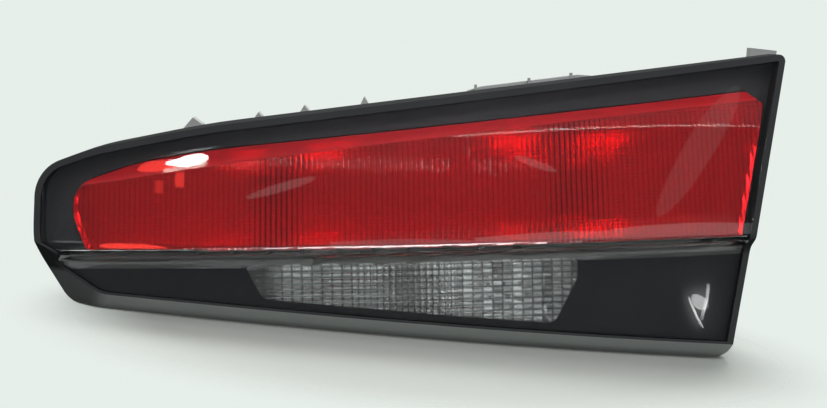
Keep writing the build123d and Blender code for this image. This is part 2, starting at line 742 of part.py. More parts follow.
def land():
    """Raised land along the middle of the flange's top edge."""
    corners = [
        (LAND_LEFT_X, top_z(LAND_LEFT_X) - HOUSING_INSET),
        (LAND_RIGHT_X, top_z(LAND_RIGHT_X) - HOUSING_INSET),
        (LAND_RIGHT_X, top_z(LAND_RIGHT_X)),
        (LAND_RIGHT_X - HOUSING_INSET, top_z(LAND_RIGHT_X - HOUSING_INSET) + LAND_PROUD),
        (LAND_LEFT_X + HOUSING_INSET, top_z(LAND_LEFT_X + HOUSING_INSET) + LAND_PROUD),
        (LAND_LEFT_X, top_z(LAND_LEFT_X)),
    ]
    return edge_block(corners, TAB_LENGTH)


def ear():
    """Raised ear on the flange's top edge at the outboard end."""
    start = END_TOP_X - EAR_LENGTH
    corners = [
        (start, top_z(start) - HOUSING_INSET),
        (END_TOP_X - EAR_TIP, END_TOP_Z - HOUSING_INSET),
        (END_TOP_X, END_TOP_Z + EAR_TIP),
        (start + EAR_TIP, top_z(start) + EAR_HEIGHT),
    ]
    return edge_block(corners, EAR_DEPTH)


def back_ribs():
    """Upright ribs on the back wall beside the bulb carrier, and a cross gusset at each stud boss."""
    back = drafted(HOUSING_INSET, BACK_Y + BACK_RIB_PROUD)
    half, depth = BACK_RIB_WALL / 2, (BACK_Y - HOUSING_WALL / 2, BACK_Y + BACK_RIB_PROUD)
    ribs = [block((x - half, x + half), depth, (ROOM_LOW_Z, ROOM_TOP_Z)) & back for x in BACK_RIB_PLACES]
    for x, z in STUD_PLACES:
        ribs.append(block((x - GUSSET_REACH, x + GUSSET_REACH), depth, (z - half, z + half)))
    return ribs


def foot():
    """Locating foot under the flange at the outboard end."""
    left, right = FOOT_X - FOOT_WIDTH / 2, FOOT_X + FOOT_WIDTH / 2
    corners = [
        (left, bottom_z(left) - FOOT_PROUD),
        (right, bottom_z(right) - FOOT_PROUD),
        (right, bottom_z(right) + HOUSING_INSET),
        (left, bottom_z(left) + HOUSING_INSET),
    ]
    return edge_block(corners, FOOT_LENGTH)


def carrier_face(radius):
    """Face round the three bulbs, a radius from their axes."""
    rims = [(Pos(*bulb) * Circle(radius)).edge() for bulb in BULBS.values()]
    return (Plane.XZ * make_hull(rims)).face()


def clip(x, z, turn):
    """Spring clip on the back wall that hooks over the carrier's edge, turned about Y."""
    inner, outer = CLIP_CLEARANCE, CLIP_CLEARANCE + CLIP_WALL
    hook = PLATE_BACK_Y + CLIP_HOOK
    corners = [
        (inner, BACK_Y - HOUSING_WALL / 2),
        (outer, BACK_Y - HOUSING_WALL / 2),
        (outer, hook),
        (inner, hook),
        (inner - CLIP_HOOK, PLATE_BACK_Y + CLIP_HOOK / 2),
        (inner - CLIP_HOOK, PLATE_BACK_Y),
        (inner, PLATE_BACK_Y),
    ]
    face = make_face(Polyline(*corners, close=True)).face().moved(Location((0, 0, -CLIP_WIDTH / 2)))
    return Pos(x, 0, z) * Rot(0, turn, 0) * Solid.extrude(face, Vector(0, 0, CLIP_WIDTH))


def clips():
    """Clips at both ends of the carrier and one on its top edge."""
    top = max(TAIL_BULB[1], STOP_BULB[1]) + CARRIER_RADIUS
    ends = [
        clip(TAIL_BULB[0] - CARRIER_RADIUS, TAIL_BULB[1], 180),
        clip(STOP_BULB[0] + CARRIER_RADIUS, STOP_BULB[1], 0),
        clip(CLIP_TOP_X, top, -90),
    ]
    return ends


def housing():
    """Grey housing: flange, drafted shell, ribs, stud bosses, peg, vent spout and clips."""
    flange = in_front(beyond(prism(outline(LENS, FLANGE_SETBACK))), FLANGE_WALL)
    body = flange + beyond(drafted(HOUSING_INSET, BACK_Y))
    for x in RIB_PLACES:
        body = body + rib(x)
    for x, width, proud in TABS:
        body = body + tab(x, width, proud)
    body = body + land() + ear() + foot()
    body = body - drafted(HOUSING_INSET + HOUSING_WALL, BACK_Y - HOUSING_WALL)
    for bar in back_ribs():
        body = body + bar
    for place in STUD_PLACES:
        body = body + rod(place, -BOSS_DEPTH, 0, BOSS_RADIUS) - rod(place, -STUD_GRIP, 0, STUD_ROOT_RADIUS)
    body = body + rod(PEG_PLACE, BACK_Y - HOUSING_WALL / 2, BACK_Y + PEG_LENGTH, PEG_RADIUS)
    body = body + rod(VENT_PLACE, BACK_Y - HOUSING_WALL / 2, BACK_Y + VENT_LENGTH, VENT_RADIUS)
    body = body - rod(VENT_PLACE, BACK_Y - 2 * HOUSING_WALL, BACK_Y + VENT_LENGTH, VENT_BORE_RADIUS)
    body = body - prism(carrier_face(CARRIER_HOLE_RADIUS), BACK_Y - 2 * HOUSING_WALL, ROOM_BACK_Y)
    for hook in clips():
        body = body + hook
    return body


def mounting_studs():
    """Studs pressed by their thicker roots into the bosses on the back."""
    studs = []
    for place in STUD_PLACES:
        shank = rod(place, 0, STUD_LENGTH, STUD_RADIUS)
        shank = chamfer(shank.edges().group_by(Axis.Y)[-1], STUD_TIP)
        studs.append((rod(place, -STUD_GRIP, 0, STUD_ROOT_RADIUS) + shank).solid())
    return Compound(studs)


def vent_cap():
    """Rubber breather cap over the vent spout."""
    radius = VENT_RADIUS + VENT_CAP_WALL
    back = BACK_Y + VENT_LENGTH + VENT_CAP_WALL
    cap = rod(VENT_PLACE, BACK_Y, back, radius) - rod(VENT_PLACE, BACK_Y, BACK_Y + VENT_LENGTH, VENT_RADIUS)
    return fillet(cap.edges().group_by(Axis.Y)[-1], VENT_CAP_WALL / 2)


# Bulb carrier and its contacts

def pin_places():
    """Places of the connector's pins across the plug."""
    return [(i - (PIN_COUNT - 1) / 2) * PIN_PITCH for i in range(PIN_COUNT)]


def track(points):
    """Flat strip on the carrier's inner face along straight runs."""
    strip = None
    for start, end in zip(points, points[1:]):
        rims = [(Pos(*point) * Circle(TRACK_WIDTH / 2)).edge() for point in (start, end)]
        run = prism((Plane.XZ * make_hull(rims)).face(), PLATE_Y - TRACK_WALL, PLATE_Y)
        strip = run if strip is None else strip + run
    return strip


def tracks():
    """Feed strips to the three bulbs and the shared return strip."""
    pins = pin_places()
    bus_z = (TAIL_BULB[1] + STOP_BULB[1]) / 2 + CAP_RADIUS - TRACK_WIDTH
    feeds = [
        [TAIL_BULB, (pins[0], PLUG_Z)],
        [REVERSE_BULB, (pins[1], PLUG_Z)],
        [(pins[3], PLUG_Z), STOP_BULB],
    ]
    shared = [(TAIL_BULB[0] + BUTTON_RADIUS, bus_z), (STOP_BULB[0] - BUTTON_RADIUS, bus_z)]
    side = (REVERSE_BULB[0] + CAP_RADIUS - TRACK_WIDTH / 2, REVERSE_BULB[1])
    drop = [(pins[2], bus_z), (pins[2], PLUG_Z), side]
    return [track(points) for points in feeds] + [track(shared) + track(drop)]


def contact_tracks():
    """Stamped contact strips."""
    return Compound([strip.solid() for strip in tracks()])


def pin(x, front, back):
    """One connector blade between two depths."""
    across = (x - PIN_WIDTH / 2, x + PIN_WIDTH / 2)
    return block(across, (front, back), (PLUG_Z - PIN_WALL / 2, PLUG_Z + PIN_WALL / 2))


def connector_pins():
    """Blades from the contact strips into the plug shroud."""
    return Compound([pin(x, PLATE_Y, PLATE_BACK_Y + PIN_LENGTH).solid() for x in pin_places()])


def socket(bulb):
    """Bayonet socket for one bulb, with grooves for the cap's pins."""
    bore = CAP_RADIUS + SOCKET_CLEARANCE
    front = PLATE_Y - SOCKET_DEPTH
    wall = rod(bulb, front, PLATE_Y, bore + SOCKET_WALL) - rod(bulb, front, PLATE_Y, bore)
    half = CAP_PIN_RADIUS + SOCKET_CLEARANCE
    reach = bore + SOCKET_WALL
    floor = PLATE_Y - TRACK_WALL - BUTTON_LENGTH - CAP_PIN_HEIGHT + half
    groove = block((bulb[0] - reach, bulb[0] + reach), (front, floor), (bulb[1] - half, bulb[1] + half))
    return wall - groove


def bulb_carrier():
    """Carrier plate with three sockets and the plug shroud."""
    body = prism(carrier_face(CARRIER_RADIUS), PLATE_Y, PLATE_BACK_Y)
    for bulb in BULBS.values():
        body = body + socket(bulb)
    for strip in tracks():
        body = body - strip
    half, high = PLUG_WIDTH / 2, PLUG_HEIGHT / 2
    depth = (PLATE_BACK_Y, PLATE_BACK_Y + PLUG_DEPTH)
    shroud = block((-half, half), depth, (PLUG_Z - high, PLUG_Z + high))
    shroud = fillet(shroud.edges().filter_by(Axis.Y), PLUG_WALL)
    inside = block(
        (-half + PLUG_WALL, half - PLUG_WALL), depth, (PLUG_Z - high + PLUG_WALL, PLUG_Z + high - PLUG_WALL)
    )
    body = body + (shroud - inside)
    for x in pin_places():
        body = body - pin(x, PLATE_Y, PLATE_BACK_Y)
    return body


def carrier_gasket():
    """Foam ring between the carrier and the housing's back wall."""
    ring = prism(carrier_face(CARRIER_RADIUS - GASKET_EDGE), BACK_Y, PLATE_Y)
    return ring - prism(carrier_face(CARRIER_HOLE_RADIUS), BACK_Y, PLATE_Y)


# Bulbs

def facing(bulb, solid):
    """Bulb piece modelled along +Z, turned to point at the lens from its contact strip."""
    return Pos(bulb[0], PLATE_Y - TRACK_WALL, bulb[1]) * Rot(90, 0, 0) * solid


def upright_rod(radius, low, high):
    """Round bar along the bulb's own axis."""
    return Pos(0, 0, (low + high) / 2) * Cylinder(radius, high - low)


CAP_TOP = BUTTON_LENGTH + CAP_LENGTH


def bulb_cap(bulb):
    """Bayonet cap with its two pins and its contact button."""
    reach = CAP_RADIUS + CAP_PIN_PROUD
    pins = Pos(0, 0, BUTTON_LENGTH + CAP_PIN_HEIGHT) * Rot(0, 90, 0) * Cylinder(CAP_PIN_RADIUS, 2 * reach)
    cap = upright_rod(CAP_RADIUS, BUTTON_LENGTH, CAP_TOP) + upright_rod(BUTTON_RADIUS, 0, BUTTON_LENGTH)
    return facing(bulb, cap + pins)


def bulb_room(radius, wall):
    """Inside of a glass envelope, moved in by a wall."""
    centre = CAP_TOP + GLASS_NECK_LENGTH + radius
    ball = Pos(0, 0, centre) * Sphere(radius - wall)
    neck = upright_rod(GLASS_NECK_RADIUS - wall, CAP_TOP, centre)
    joined = ball + neck
    seam = joined.edges().filter_by(GeomType.CIRCLE).sort_by(Axis.Z)[1]
    return fillet(seam, GLASS_BLEND_RADIUS + wall)


def bulb_glass(bulb, radius):
    """Hollow glass envelope."""
    return facing(bulb, bulb_room(radius, 0) - bulb_room(radius, GLASS_WALL))


def bulb_filament(bulb):
    """Filament across its two posts."""
    height = CAP_TOP + FILAMENT_HEIGHT
    posts = [Pos(side * POST_SPREAD, 0, 0) * upright_rod(POST_RADIUS, CAP_TOP, height) for side in (-1, 1)]
    wire = Pos(0, 0, height) * Rot(0, 90, 0) * Cylinder(FILAMENT_RADIUS, 2 * (POST_SPREAD + POST_RADIUS))
    return facing(bulb, posts[0] + posts[1] + wire)


# Sub-parts by node name

NODES = {
    "outer_lens": outer_lens(),
    "lens_rim": lens_rim(),
    "inner_bezel": inner_bezel(),
    "red_inner_lens": red_inner_lens(),
    "reverse_inner_lens": reverse_inner_lens(),
    "reflector": reflector(),
    "housing": housing(),
    "mounting_studs": mounting_studs(),
    "vent_cap": vent_cap(),
    "bulb_carrier": bulb_carrier(),
    "carrier_gasket": carrier_gasket(),
    "contact_tracks": contact_tracks(),
    "connector_pins": connector_pins(),
}
for use, place in BULBS.items():
    NODES[f"{use}_bulb_cap"] = bulb_cap(place)
    NODES[f"{use}_bulb_glass"] = bulb_glass(place, GLASS_RADII[use])
    NODES[f"{use}_bulb_filament"] = bulb_filament(place)

os.makedirs("parts", exist_ok=True)
for name, shape in NODES.items():
    export_step(shape, f"parts/{name}.step")
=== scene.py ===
"""Looks of a right-hand tailgate lamp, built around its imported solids.

Sizes of the lamp and its finishes are in millimetres, those of the table and the studio in metres.
"""

import json
import logging
import math
from dataclasses import dataclass, field
from enum import Enum

import bpy
from mathutils import Matrix, Quaternion, Vector


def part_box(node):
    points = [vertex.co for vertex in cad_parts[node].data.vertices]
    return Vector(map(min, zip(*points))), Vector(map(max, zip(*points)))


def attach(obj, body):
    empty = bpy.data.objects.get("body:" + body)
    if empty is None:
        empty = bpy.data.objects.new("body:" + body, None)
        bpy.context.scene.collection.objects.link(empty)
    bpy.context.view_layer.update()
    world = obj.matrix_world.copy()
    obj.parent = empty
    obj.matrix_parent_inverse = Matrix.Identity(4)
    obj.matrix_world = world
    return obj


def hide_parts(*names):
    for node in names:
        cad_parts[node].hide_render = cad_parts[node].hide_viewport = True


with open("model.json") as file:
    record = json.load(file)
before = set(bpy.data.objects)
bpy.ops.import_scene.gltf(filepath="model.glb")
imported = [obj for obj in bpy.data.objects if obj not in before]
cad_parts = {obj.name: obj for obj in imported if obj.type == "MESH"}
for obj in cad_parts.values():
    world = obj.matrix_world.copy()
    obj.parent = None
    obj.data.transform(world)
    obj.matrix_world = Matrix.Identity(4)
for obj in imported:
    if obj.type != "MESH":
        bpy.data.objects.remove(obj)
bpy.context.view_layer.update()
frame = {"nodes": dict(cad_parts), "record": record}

Colour = tuple[float, float, float]
Point = tuple[float, float, float]
Span = tuple[float, float]
Socket = bpy.types.NodeSocket
Tone = Socket | Colour

MM = 0.001
BODY = "root"
NOISE_LOW = 0.3
NOISE_HIGH = 0.7
EVEN = (1.0, 1.0, 1.0)
PALE = (1.0, 1.0, 1.0)
GLOW = (1.0, 0.06, 0.04)

log = logging.getLogger("tail_lamp")


def opaque(colour: Colour) -> tuple[float, float, float, float]:
    """Colour with full alpha."""
    return (*colour, 1.0)


class Tree:
    """Node tree, with the steps that the materials, the world and the recipes share."""

    def __init__(self, tree: bpy.types.NodeTree) -> None:
        """Work on a node tree."""
        self.tree = tree

    def feed(self, target: Socket, value: object) -> None:
        """Link an output to an input, or set a plain value on it.

        Args:
            target: The input.
            value: The output or the value.
        """
        if isinstance(value, Socket):
            self.tree.links.new(value, target)
        else:
            target.default_value = value

    def node(self, kind: str, **settings: object) -> bpy.types.Node:
        """Add a node.

        Args:
            kind: Blender's type name of the node.
            settings: Properties to set on it.

        Returns:
            The new node.
        """
        made = self.tree.nodes.new(kind)
        for key, value in settings.items():
            setattr(made, key, value)
        return made

    def step(self, kind: str, **inputs: object) -> bpy.types.NodeOutputs:
        """Add a node and feed its inputs.

        Args:
            kind: Blender's type name of the node.
            inputs: Values or outputs for its inputs, with underscores for spaces.

        Returns:
            The node's outputs.
        """
        made = self.node(kind)
        for key, value in inputs.items():
            self.feed(made.inputs[key.replace("_", " ")], value)
        return made.outputs

    def maths(self, operation: str, first: Socket | float, second: Socket | float = 0.0) -> Socket:
        """One step of arithmetic.

        Args:
            operation: Blender's name of the operation.
            first: Socket or number.
            second: Socket or number.

        Returns:
            The result.
        """
        made = self.node("ShaderNodeMath", operation=operation)
        self.feed(made.inputs[0], first)
        self.feed(made.inputs[1], second)
        return made.outputs[0]

    def parts(self, vector: Socket) -> bpy.types.NodeOutputs:
        """X, Y and Z of a vector."""
        return self.step("ShaderNodeSeparateXYZ", Vector=vector)

    def spread(
        self,
        source: Socket,
        low: float,
        high: float,
        start: float = NOISE_LOW,
        end: float = NOISE_HIGH,
        smooth: bool = False,
    ) -> Socket:
        """Map a factor to a range.

        Args:
            source: The factor.
            low: Result at start.
            high: Result at end.
            start: Factor that gives low.
            end: Factor that gives high.
            smooth: Whether the change eases in and out.

        Returns:
            The mapped value.
        """
        made = self.node("ShaderNodeMapRange", interpolation_type="SMOOTHSTEP" if smooth else "LINEAR")
        inputs = {"Value": source, "From Min": start, "From Max": end, "To Min": low, "To Max": high}
        for name, value in inputs.items():
            self.feed(made.inputs[name], value)
        return made.outputs["Result"]

    def mixed(self, factor: Socket, first: Tone, second: Tone) -> Socket:
        """Mix of two colours.

        Args:
            factor: 0 for the first, 1 for the second.
            first: Colour socket or linear colour.
            second: Colour socket or linear colour.

        Returns:
            The mixed colour.
        """
        made = self.node("ShaderNodeMix", data_type="RGBA")
        self.feed(made.inputs[0], factor)
        ends = [socket for socket in made.inputs if socket.type == "RGBA"]
        for end, colour in zip(ends, (first, second)):
            self.feed(end, colour if isinstance(colour, Socket) else opaque(colour))
        return next(socket for socket in made.outputs if socket.type == "RGBA")

    def fade(self, source: Socket, span: Span, first: Tone, second: Tone) -> Socket:
        """Smooth change from the first colour to the second while the source crosses the span."""
        return self.mixed(self.spread(source, 0.0, 1.0, *span, smooth=True), first, second)


class Graph(Tree):
    """Node tree of one material, with a Principled shader on Object coordinates."""

    def __init__(self, name: str) -> None:
        """Start a material.

        Args:
            name: Name of the material.
        """
        self.material = bpy.data.materials.new(name)
        self.material.use_nodes = True
        super().__init__(self.material.node_tree)
        self.shader = self.tree.nodes["Principled BSDF"]
        self.place = self.node("ShaderNodeTexCoord").outputs["Object"]

    def shade(self, **values: object) -> None:
        """Set or link the shader's own sockets, named with underscores for spaces."""
        for key, value in values.items():
            self.feed(self.shader.inputs[key.replace("_", " ")], value)

    def noise(self, size_mm: float, detail: float, stretch: Point = EVEN) -> Socket:
        """Noise on Object coordinates.

        Args:
            size_mm: Size of one blotch in millimetres.
            detail: Octaves of finer detail.
            stretch: How much longer the blotches are along each axis.

        Returns:
            The factor output, from 0 to 1.
        """
        place = self.step("ShaderNodeMapping", Vector=self.place, Scale=[1.0 / share for share in stretch])
        scale = 1.0 / (size_mm * MM)
        return self.step("ShaderNodeTexNoise", Vector=place["Vector"], Scale=scale, Detail=detail)["Fac"]

    def bump(self, height: Socket, depth_mm: float) -> None:
        """Raise the surface by a height from 0 to 1, where 1 stands for the depth."""
        relief = self.step("ShaderNodeBump", Strength=1.0, Distance=depth_mm * MM, Height=height)
        self.shade(Normal=relief["Normal"])

    def facing(self) -> bpy.types.NodeOutputs:
        """X, Y and Z of the surface's direction."""
        return self.parts(self.node("ShaderNodeNewGeometry").outputs["Normal"])

    def crowns(self, along: Socket, pitch_mm: float) -> Socket:
        """Round-topped ridges.

        Args:
            along: Distance across the ridges in metres.
            pitch_mm: Width of one ridge in millimetres.

        Returns:
            Height from 0 between ridges to 1 on their crowns.
        """
        share = self.maths("FRACT", self.maths("DIVIDE", along, pitch_mm * MM))
        swing = self.maths("SUBTRACT", self.maths("MULTIPLY", share, 2.0), 1.0)
        return self.maths("SUBTRACT", 1.0, self.maths("MULTIPLY", swing, swing))


@dataclass(frozen=True)
class ClearPlastic:
    """Clear moulding that light passes through, with faint wiping marks."""

    name: str
    tint: Colour
    shadow: Colour
    rough: Span
    ior: float
    mark_size: float
    clear: float = 1.0
    mark_detail: float = 4.0
    mark_stretch: Point = (3.0, 1.0, 1.0)

    def material(self) -> bpy.types.Material:
        """Build the material.

        Returns:
            The material.
        """
        graph = Graph(self.name)
        self.dress(graph)
        return graph.material

    def dress(self, graph: Graph) -> None:
        """Set up the shader.

        Args:
            graph: The material's node tree.
        """
        marks = graph.noise(self.mark_size, self.mark_detail, self.mark_stretch)
        graph.shade(IOR=self.ior, Transmission_Weight=self.clear)
        graph.shade(Base_Color=self.tone(graph, marks), Roughness=graph.spread(marks, *self.rough))

    def tone(self, graph: Graph, marks: Socket) -> Socket:
        """Colour of the moulding, by its wiping marks."""
        return graph.mixed(marks, self.shadow, self.tint)


@dataclass(frozen=True)
class FlutedPlastic(ClearPlastic):
    """Coloured clear moulding with painted shade between its flutes and rows and in upright bands, and a
    painted highlight on its flank that faces up, which is paler and milkier.
    """

    # Pitches and spans of the flutes and rows, whose grooves get painted shade.
    flute: float = 2.4
    flute_span: Span = (0.1, 0.8)
    row: float = 1.6
    row_span: Span = (0.1, 0.7)
    row_share: float = 0.25
    # Painted shade: upright bands, by middle and half width in millimetres, where the grooves are shaded
    # fully.
    bands: tuple[Span, ...] = ((-70.0, 18.0), (68.0, 22.0))
    band_core: float = 0.3
    groove_shade_share: float = 0.36
    # Painted shade: the deep red laid into the grooves, rows and bands.
    deep: Colour = (0.36, 0.003, 0.007)
    # Painted highlight: the flank that faces up is paler red and lets less light through.
    flank: Colour = (0.98, 0.03, 0.04)
    flank_clear: float = 0.4
    flank_span: Span = (0.58, 0.68)
    edge_radius: float = 0.8
    edge_samples: int = 4

    def dress(self, graph: Graph) -> None:
        """Set up the shader, milkier on the flank that faces up as part of its painted highlight, and round
        at the edges.

        Args:
            graph: The material's node tree.
        """
        super().dress(graph)
        edge = graph.node("ShaderNodeBevel", samples=self.edge_samples)
        graph.feed(edge.inputs["Radius"], self.edge_radius * MM)
        # Milkier where the surface faces up, part of the flank's painted highlight.
        clear = graph.spread(graph.facing()["Z"], self.clear, self.flank_clear, *self.flank_span)
        graph.shade(Transmission_Weight=clear, Normal=edge.outputs["Normal"])

    def tone(self, graph: Graph, marks: Socket) -> Socket:
        """Colour, with painted shade in the grooves between flutes and rows and in upright bands, and a
        painted highlight on the flank.

        Args:
            graph: The material's node tree.
            marks: Wiping marks from 0 to 1.

        Returns:
            The colour.
        """
        place = graph.parts(graph.place)
        # Painted shade, darkest in the grooves between flutes, lighter along the rows.
        groove_shade = graph.spread(graph.crowns(place["X"], self.flute), 1.0, 0.0, *self.flute_span)
        row_shade = graph.spread(graph.crowns(place["Z"], self.row), self.row_share, 0.0, *self.row_span)
        share = self.groove_shade_share
        for middle, half in self.bands:
            away = graph.maths("ABSOLUTE", graph.maths("SUBTRACT", place["X"], middle * MM))
            shade_band = graph.spread(away, 1.0, 0.0, self.band_core * half * MM, half * MM)
            share = graph.maths("MAXIMUM", shade_band, share)
        # Share of the painted shade at each point.
        depth = graph.maths("ADD", graph.maths("MULTIPLY", groove_shade, share), row_shade)
        face = graph.mixed(depth, super().tone(graph, marks), self.deep)
        # Painted highlight on the flank that faces up.
        flank = graph.spread(graph.facing()["Z"], 0.0, 1.0, *self.flank_span)
        return graph.mixed(flank, face, self.flank)


@dataclass(frozen=True)
class PillowPlastic(ClearPlastic):
    """Clear moulding with upright columns of pillow optics, finer across a middle block."""

    column: float = 4.58
    block_column: float = 2.8235
    block_left: float = -36.0
    block_right: float = 12.0
    pillow_rise: float = 0.4
    row: float = 2.8
    # Painted shade: grey laid into the grooves between the pillows.
    groove_shade: Colour = (0.26, 0.275, 0.27)
    groove_shade_end: float = 0.65
    # Painted shade: the narrow end darkens across this span of X in millimetres.
    end_shade_span: Span = (-76.0, -66.0)

    def dress(self, graph: Graph) -> None:
        """Set up the shader and the relief of the columns."""
        super().dress(graph)
        graph.bump(self.columns(graph), self.pillow_rise)

    def tone(self, graph: Graph, marks: Socket) -> Socket:
        """Colour, with painted shade in the grooves between the pillows and at the narrow end.

        Args:
            graph: The material's node tree.
            marks: Wiping marks from 0 to 1.

        Returns:
            The colour.
        """
        place = graph.parts(graph.place)
        # Painted shade in the grooves and at the narrow end.
        lowest = graph.maths("MINIMUM", graph.crowns(place["Z"], self.row), self.columns(graph))
        end = graph.spread(place["X"], 1.0, 0.0, *(x * MM for x in self.end_shade_span))
        dark = graph.maths("MAXIMUM", graph.spread(lowest, 1.0, 0.0, 0.0, self.groove_shade_end), end)
        return graph.mixed(dark, super().tone(graph, marks), self.groove_shade)

    def columns(self, graph: Graph) -> Socket:
        """Height of the upright columns, from 0 to 1.

        Args:
            graph: The material's node tree.

        Returns:
            The height.
        """
        across = graph.parts(graph.place)["X"]
        start = graph.maths("SUBTRACT", across, self.block_left * MM)
        coarse = graph.crowns(start, self.column)
        fine = graph.crowns(start, self.block_column)
        past_left = graph.maths("GREATER_THAN", across, self.block_left * MM)
        past_right = graph.maths("GREATER_THAN", across, self.block_right * MM)
        inside = graph.maths("SUBTRACT", past_left, past_right)
        change = graph.maths("SUBTRACT", fine, coarse)
        return graph.maths("ADD", coarse, graph.maths("MULTIPLY", change, inside))


@dataclass(frozen=True)
class MouldedPlastic:
    """Opaque moulding with flow marks in its colour and a fine grain."""

    name: str
    dark: Colour
    light: Colour
    rough: Span
    flow_size: float
    grain_size: float
    grain_depth: float
    specular: float = 0.5
    flow_detail: float = 3.0
    grain_detail: float = 2.0

    def material(self) -> bpy.types.Material:
        """Build the material.

        Returns:
            The material.
        """
        graph = Graph(self.name)
        flow = graph.noise(self.flow_size, self.flow_detail)
        grain = graph.noise(self.grain_size, self.grain_detail)
        graph.shade(Specular_IOR_Level=self.specular)
        graph.shade(Base_Color=self.tone(graph, flow), Roughness=graph.spread(grain, *self.rough))
        graph.bump(grain, self.grain_depth)
        return graph.material

    def tone(self, graph: Graph, flow: Socket) -> Socket:
        """Colour of the moulding, by its flow marks."""
        return graph.mixed(flow, self.dark, self.light)


@dataclass(frozen=True)
class BezelPlastic(MouldedPlastic):
    """Black moulding with painted light: its raked top border is paler than its upright lower face."""

    # Painted light: paler black for the raked top border.
    border_light: Colour = (0.05, 0.05, 0.053)
    rake_span: Span = (0.1, 0.25)

    def tone(self, graph: Graph, flow: Socket) -> Socket:
        """Colour of the moulding, with painted light that makes it paler where it leans back."""
        raked = graph.spread(graph.facing()["Z"], 0.0, 1.0, *self.rake_span)
        return graph.mixed(raked, super().tone(graph, flow), self.border_light)


@dataclass(frozen=True)
class RimPlastic(MouldedPlastic):
    """Black moulding with a painted reflection: its downward-facing chamfer is pale grey, less so on the chin
    at the nose.
    """

    # Painted reflection: pale grey laid on the downward-facing chamfer.
    bevel_reflection: Colour = (0.34, 0.357, 0.351)
    down_span: Span = (-0.55, -0.35)
    chin_span: Span = (-0.5, -0.2)
    chin_share: float = 0.4
    low_span: Span = (-58.0, -55.0)

    def tone(self, graph: Graph, flow: Socket) -> Socket:
        """Colour of the moulding, with a painted reflection that makes it paler where it faces down.

        Args:
            graph: The material's node tree.
            flow: Flow marks from 0 to 1.

        Returns:
            The colour.
        """
        facing = graph.facing()
        down = graph.spread(facing["Z"], 1.0, 0.0, *self.down_span)
        ahead = graph.spread(facing["X"], self.chin_share, 1.0, *self.chin_span)
        low = graph.spread(graph.parts(graph.place)["Z"], 1.0, 0.0, *(z * MM for z in self.low_span))
        # Painted reflection where the surface faces down and lies low, weaker on the chin at the nose.
        share = graph.maths("MULTIPLY", graph.maths("MULTIPLY", down, ahead), low)
        return graph.mixed(share, super().tone(graph, flow), self.bevel_reflection)


@dataclass(frozen=True)
class PlatedMetal:
    """Metal or a metal film, with blotches in its gloss and, where they have a depth, fine lines."""

    name: str
    dark: Colour
    light: Colour
    rough: Span
    blotch_size: float
    stretch: Point = EVEN
    line_depth: float = 0.0
    blotch_detail: float = 3.0

    def material(self) -> bpy.types.Material:
        """Build the material.

        Returns:
            The material.
        """
        graph = Graph(self.name)
        blotch = graph.noise(self.blotch_size, self.blotch_detail, self.stretch)
        tone = graph.mixed(blotch, self.dark, self.light)
        graph.shade(Metallic=1.0, Base_Color=tone, Roughness=graph.spread(blotch, *self.rough))
        if self.line_depth:
            graph.bump(blotch, self.line_depth)
        return graph.material


Finish = ClearPlastic | MouldedPlastic | PlatedMetal

COVER = ClearPlastic(
    "cover_acrylic", (0.97, 0.98, 0.98), (0.93, 0.95, 0.95), rough=(0.0, 0.015), ior=1.49, mark_size=40.0
)
RED = FlutedPlastic(
    "red_acrylic", (0.98, 0.016, 0.022), (0.94, 0.012, 0.017), rough=(0.01, 0.04), ior=1.49, mark_size=12.0,
    clear=0.68,
)
OPTIC = PillowPlastic(
    "pillow_acrylic", (0.97, 0.98, 0.97), (0.92, 0.94, 0.93), rough=(0.0, 0.02), ior=1.49, mark_size=9.0,
    clear=0.92,
)
BULB_GLASS = ClearPlastic(
    "bulb_glass", (0.98, 0.98, 0.98), (0.94, 0.94, 0.93), rough=(0.0, 0.02), ior=1.5, mark_size=5.0
)
BEZEL = BezelPlastic(
    "bezel_gloss_black", (0.021, 0.022, 0.023), (0.027, 0.028, 0.029), rough=(0.06, 0.1),
    flow_size=30.0, grain_size=9.0, grain_depth=0.002,
)
RIM = RimPlastic(
    "rim_satin_black", (0.03, 0.032, 0.033), (0.039, 0.041, 0.042), rough=(0.4, 0.5),
    flow_size=26.0, grain_size=0.6, grain_depth=0.006, specular=0.0,
)
HOUSING = MouldedPlastic(
    "housing_grey", (0.245, 0.254, 0.254), (0.31, 0.319, 0.315), rough=(0.42, 0.6),
    flow_size=24.0, grain_size=0.5, grain_depth=0.03,
)
CARRIER = MouldedPlastic(
    "carrier_nylon", (0.5, 0.48, 0.43), (0.6, 0.58, 0.53), rough=(0.4, 0.55),
    flow_size=15.0, grain_size=0.4, grain_depth=0.02,
)
VENT = MouldedPlastic(
    "vent_rubber", (0.012, 0.012, 0.012), (0.022, 0.022, 0.022), rough=(0.6, 0.8),
    flow_size=4.0, grain_size=0.3, grain_depth=0.03,
)
FOAM = MouldedPlastic(
    "gasket_foam", (0.016, 0.016, 0.018), (0.035, 0.035, 0.037), rough=(0.8, 0.95),
    flow_size=1.5, grain_size=0.6, grain_depth=0.25,
)
CHROME = PlatedMetal(
    "reflector_film", (0.86, 0.87, 0.87), (0.92, 0.92, 0.92), rough=(0.08, 0.14), blotch_size=8.0
)
STEEL = PlatedMetal(
    "stud_zinc", (0.5, 0.5, 0.5), (0.66, 0.66, 0.64), rough=(0.25, 0.4), blotch_size=1.5,
    stretch=(1.0, 6.0, 1.0), line_depth=0.01,
)
BRASS = PlatedMetal(
    "contact_brass", (0.6, 0.44, 0.2), (0.74, 0.58, 0.3), rough=(0.22, 0.38), blotch_size=2.0,
    stretch=(4.0, 1.0, 1.0), line_depth=0.005,
)
CAP = PlatedMetal(
    "cap_nickel_brass", (0.6, 0.52, 0.38), (0.72, 0.65, 0.5), rough=(0.2, 0.35), blotch_size=2.0,
    line_depth=0.004,
)
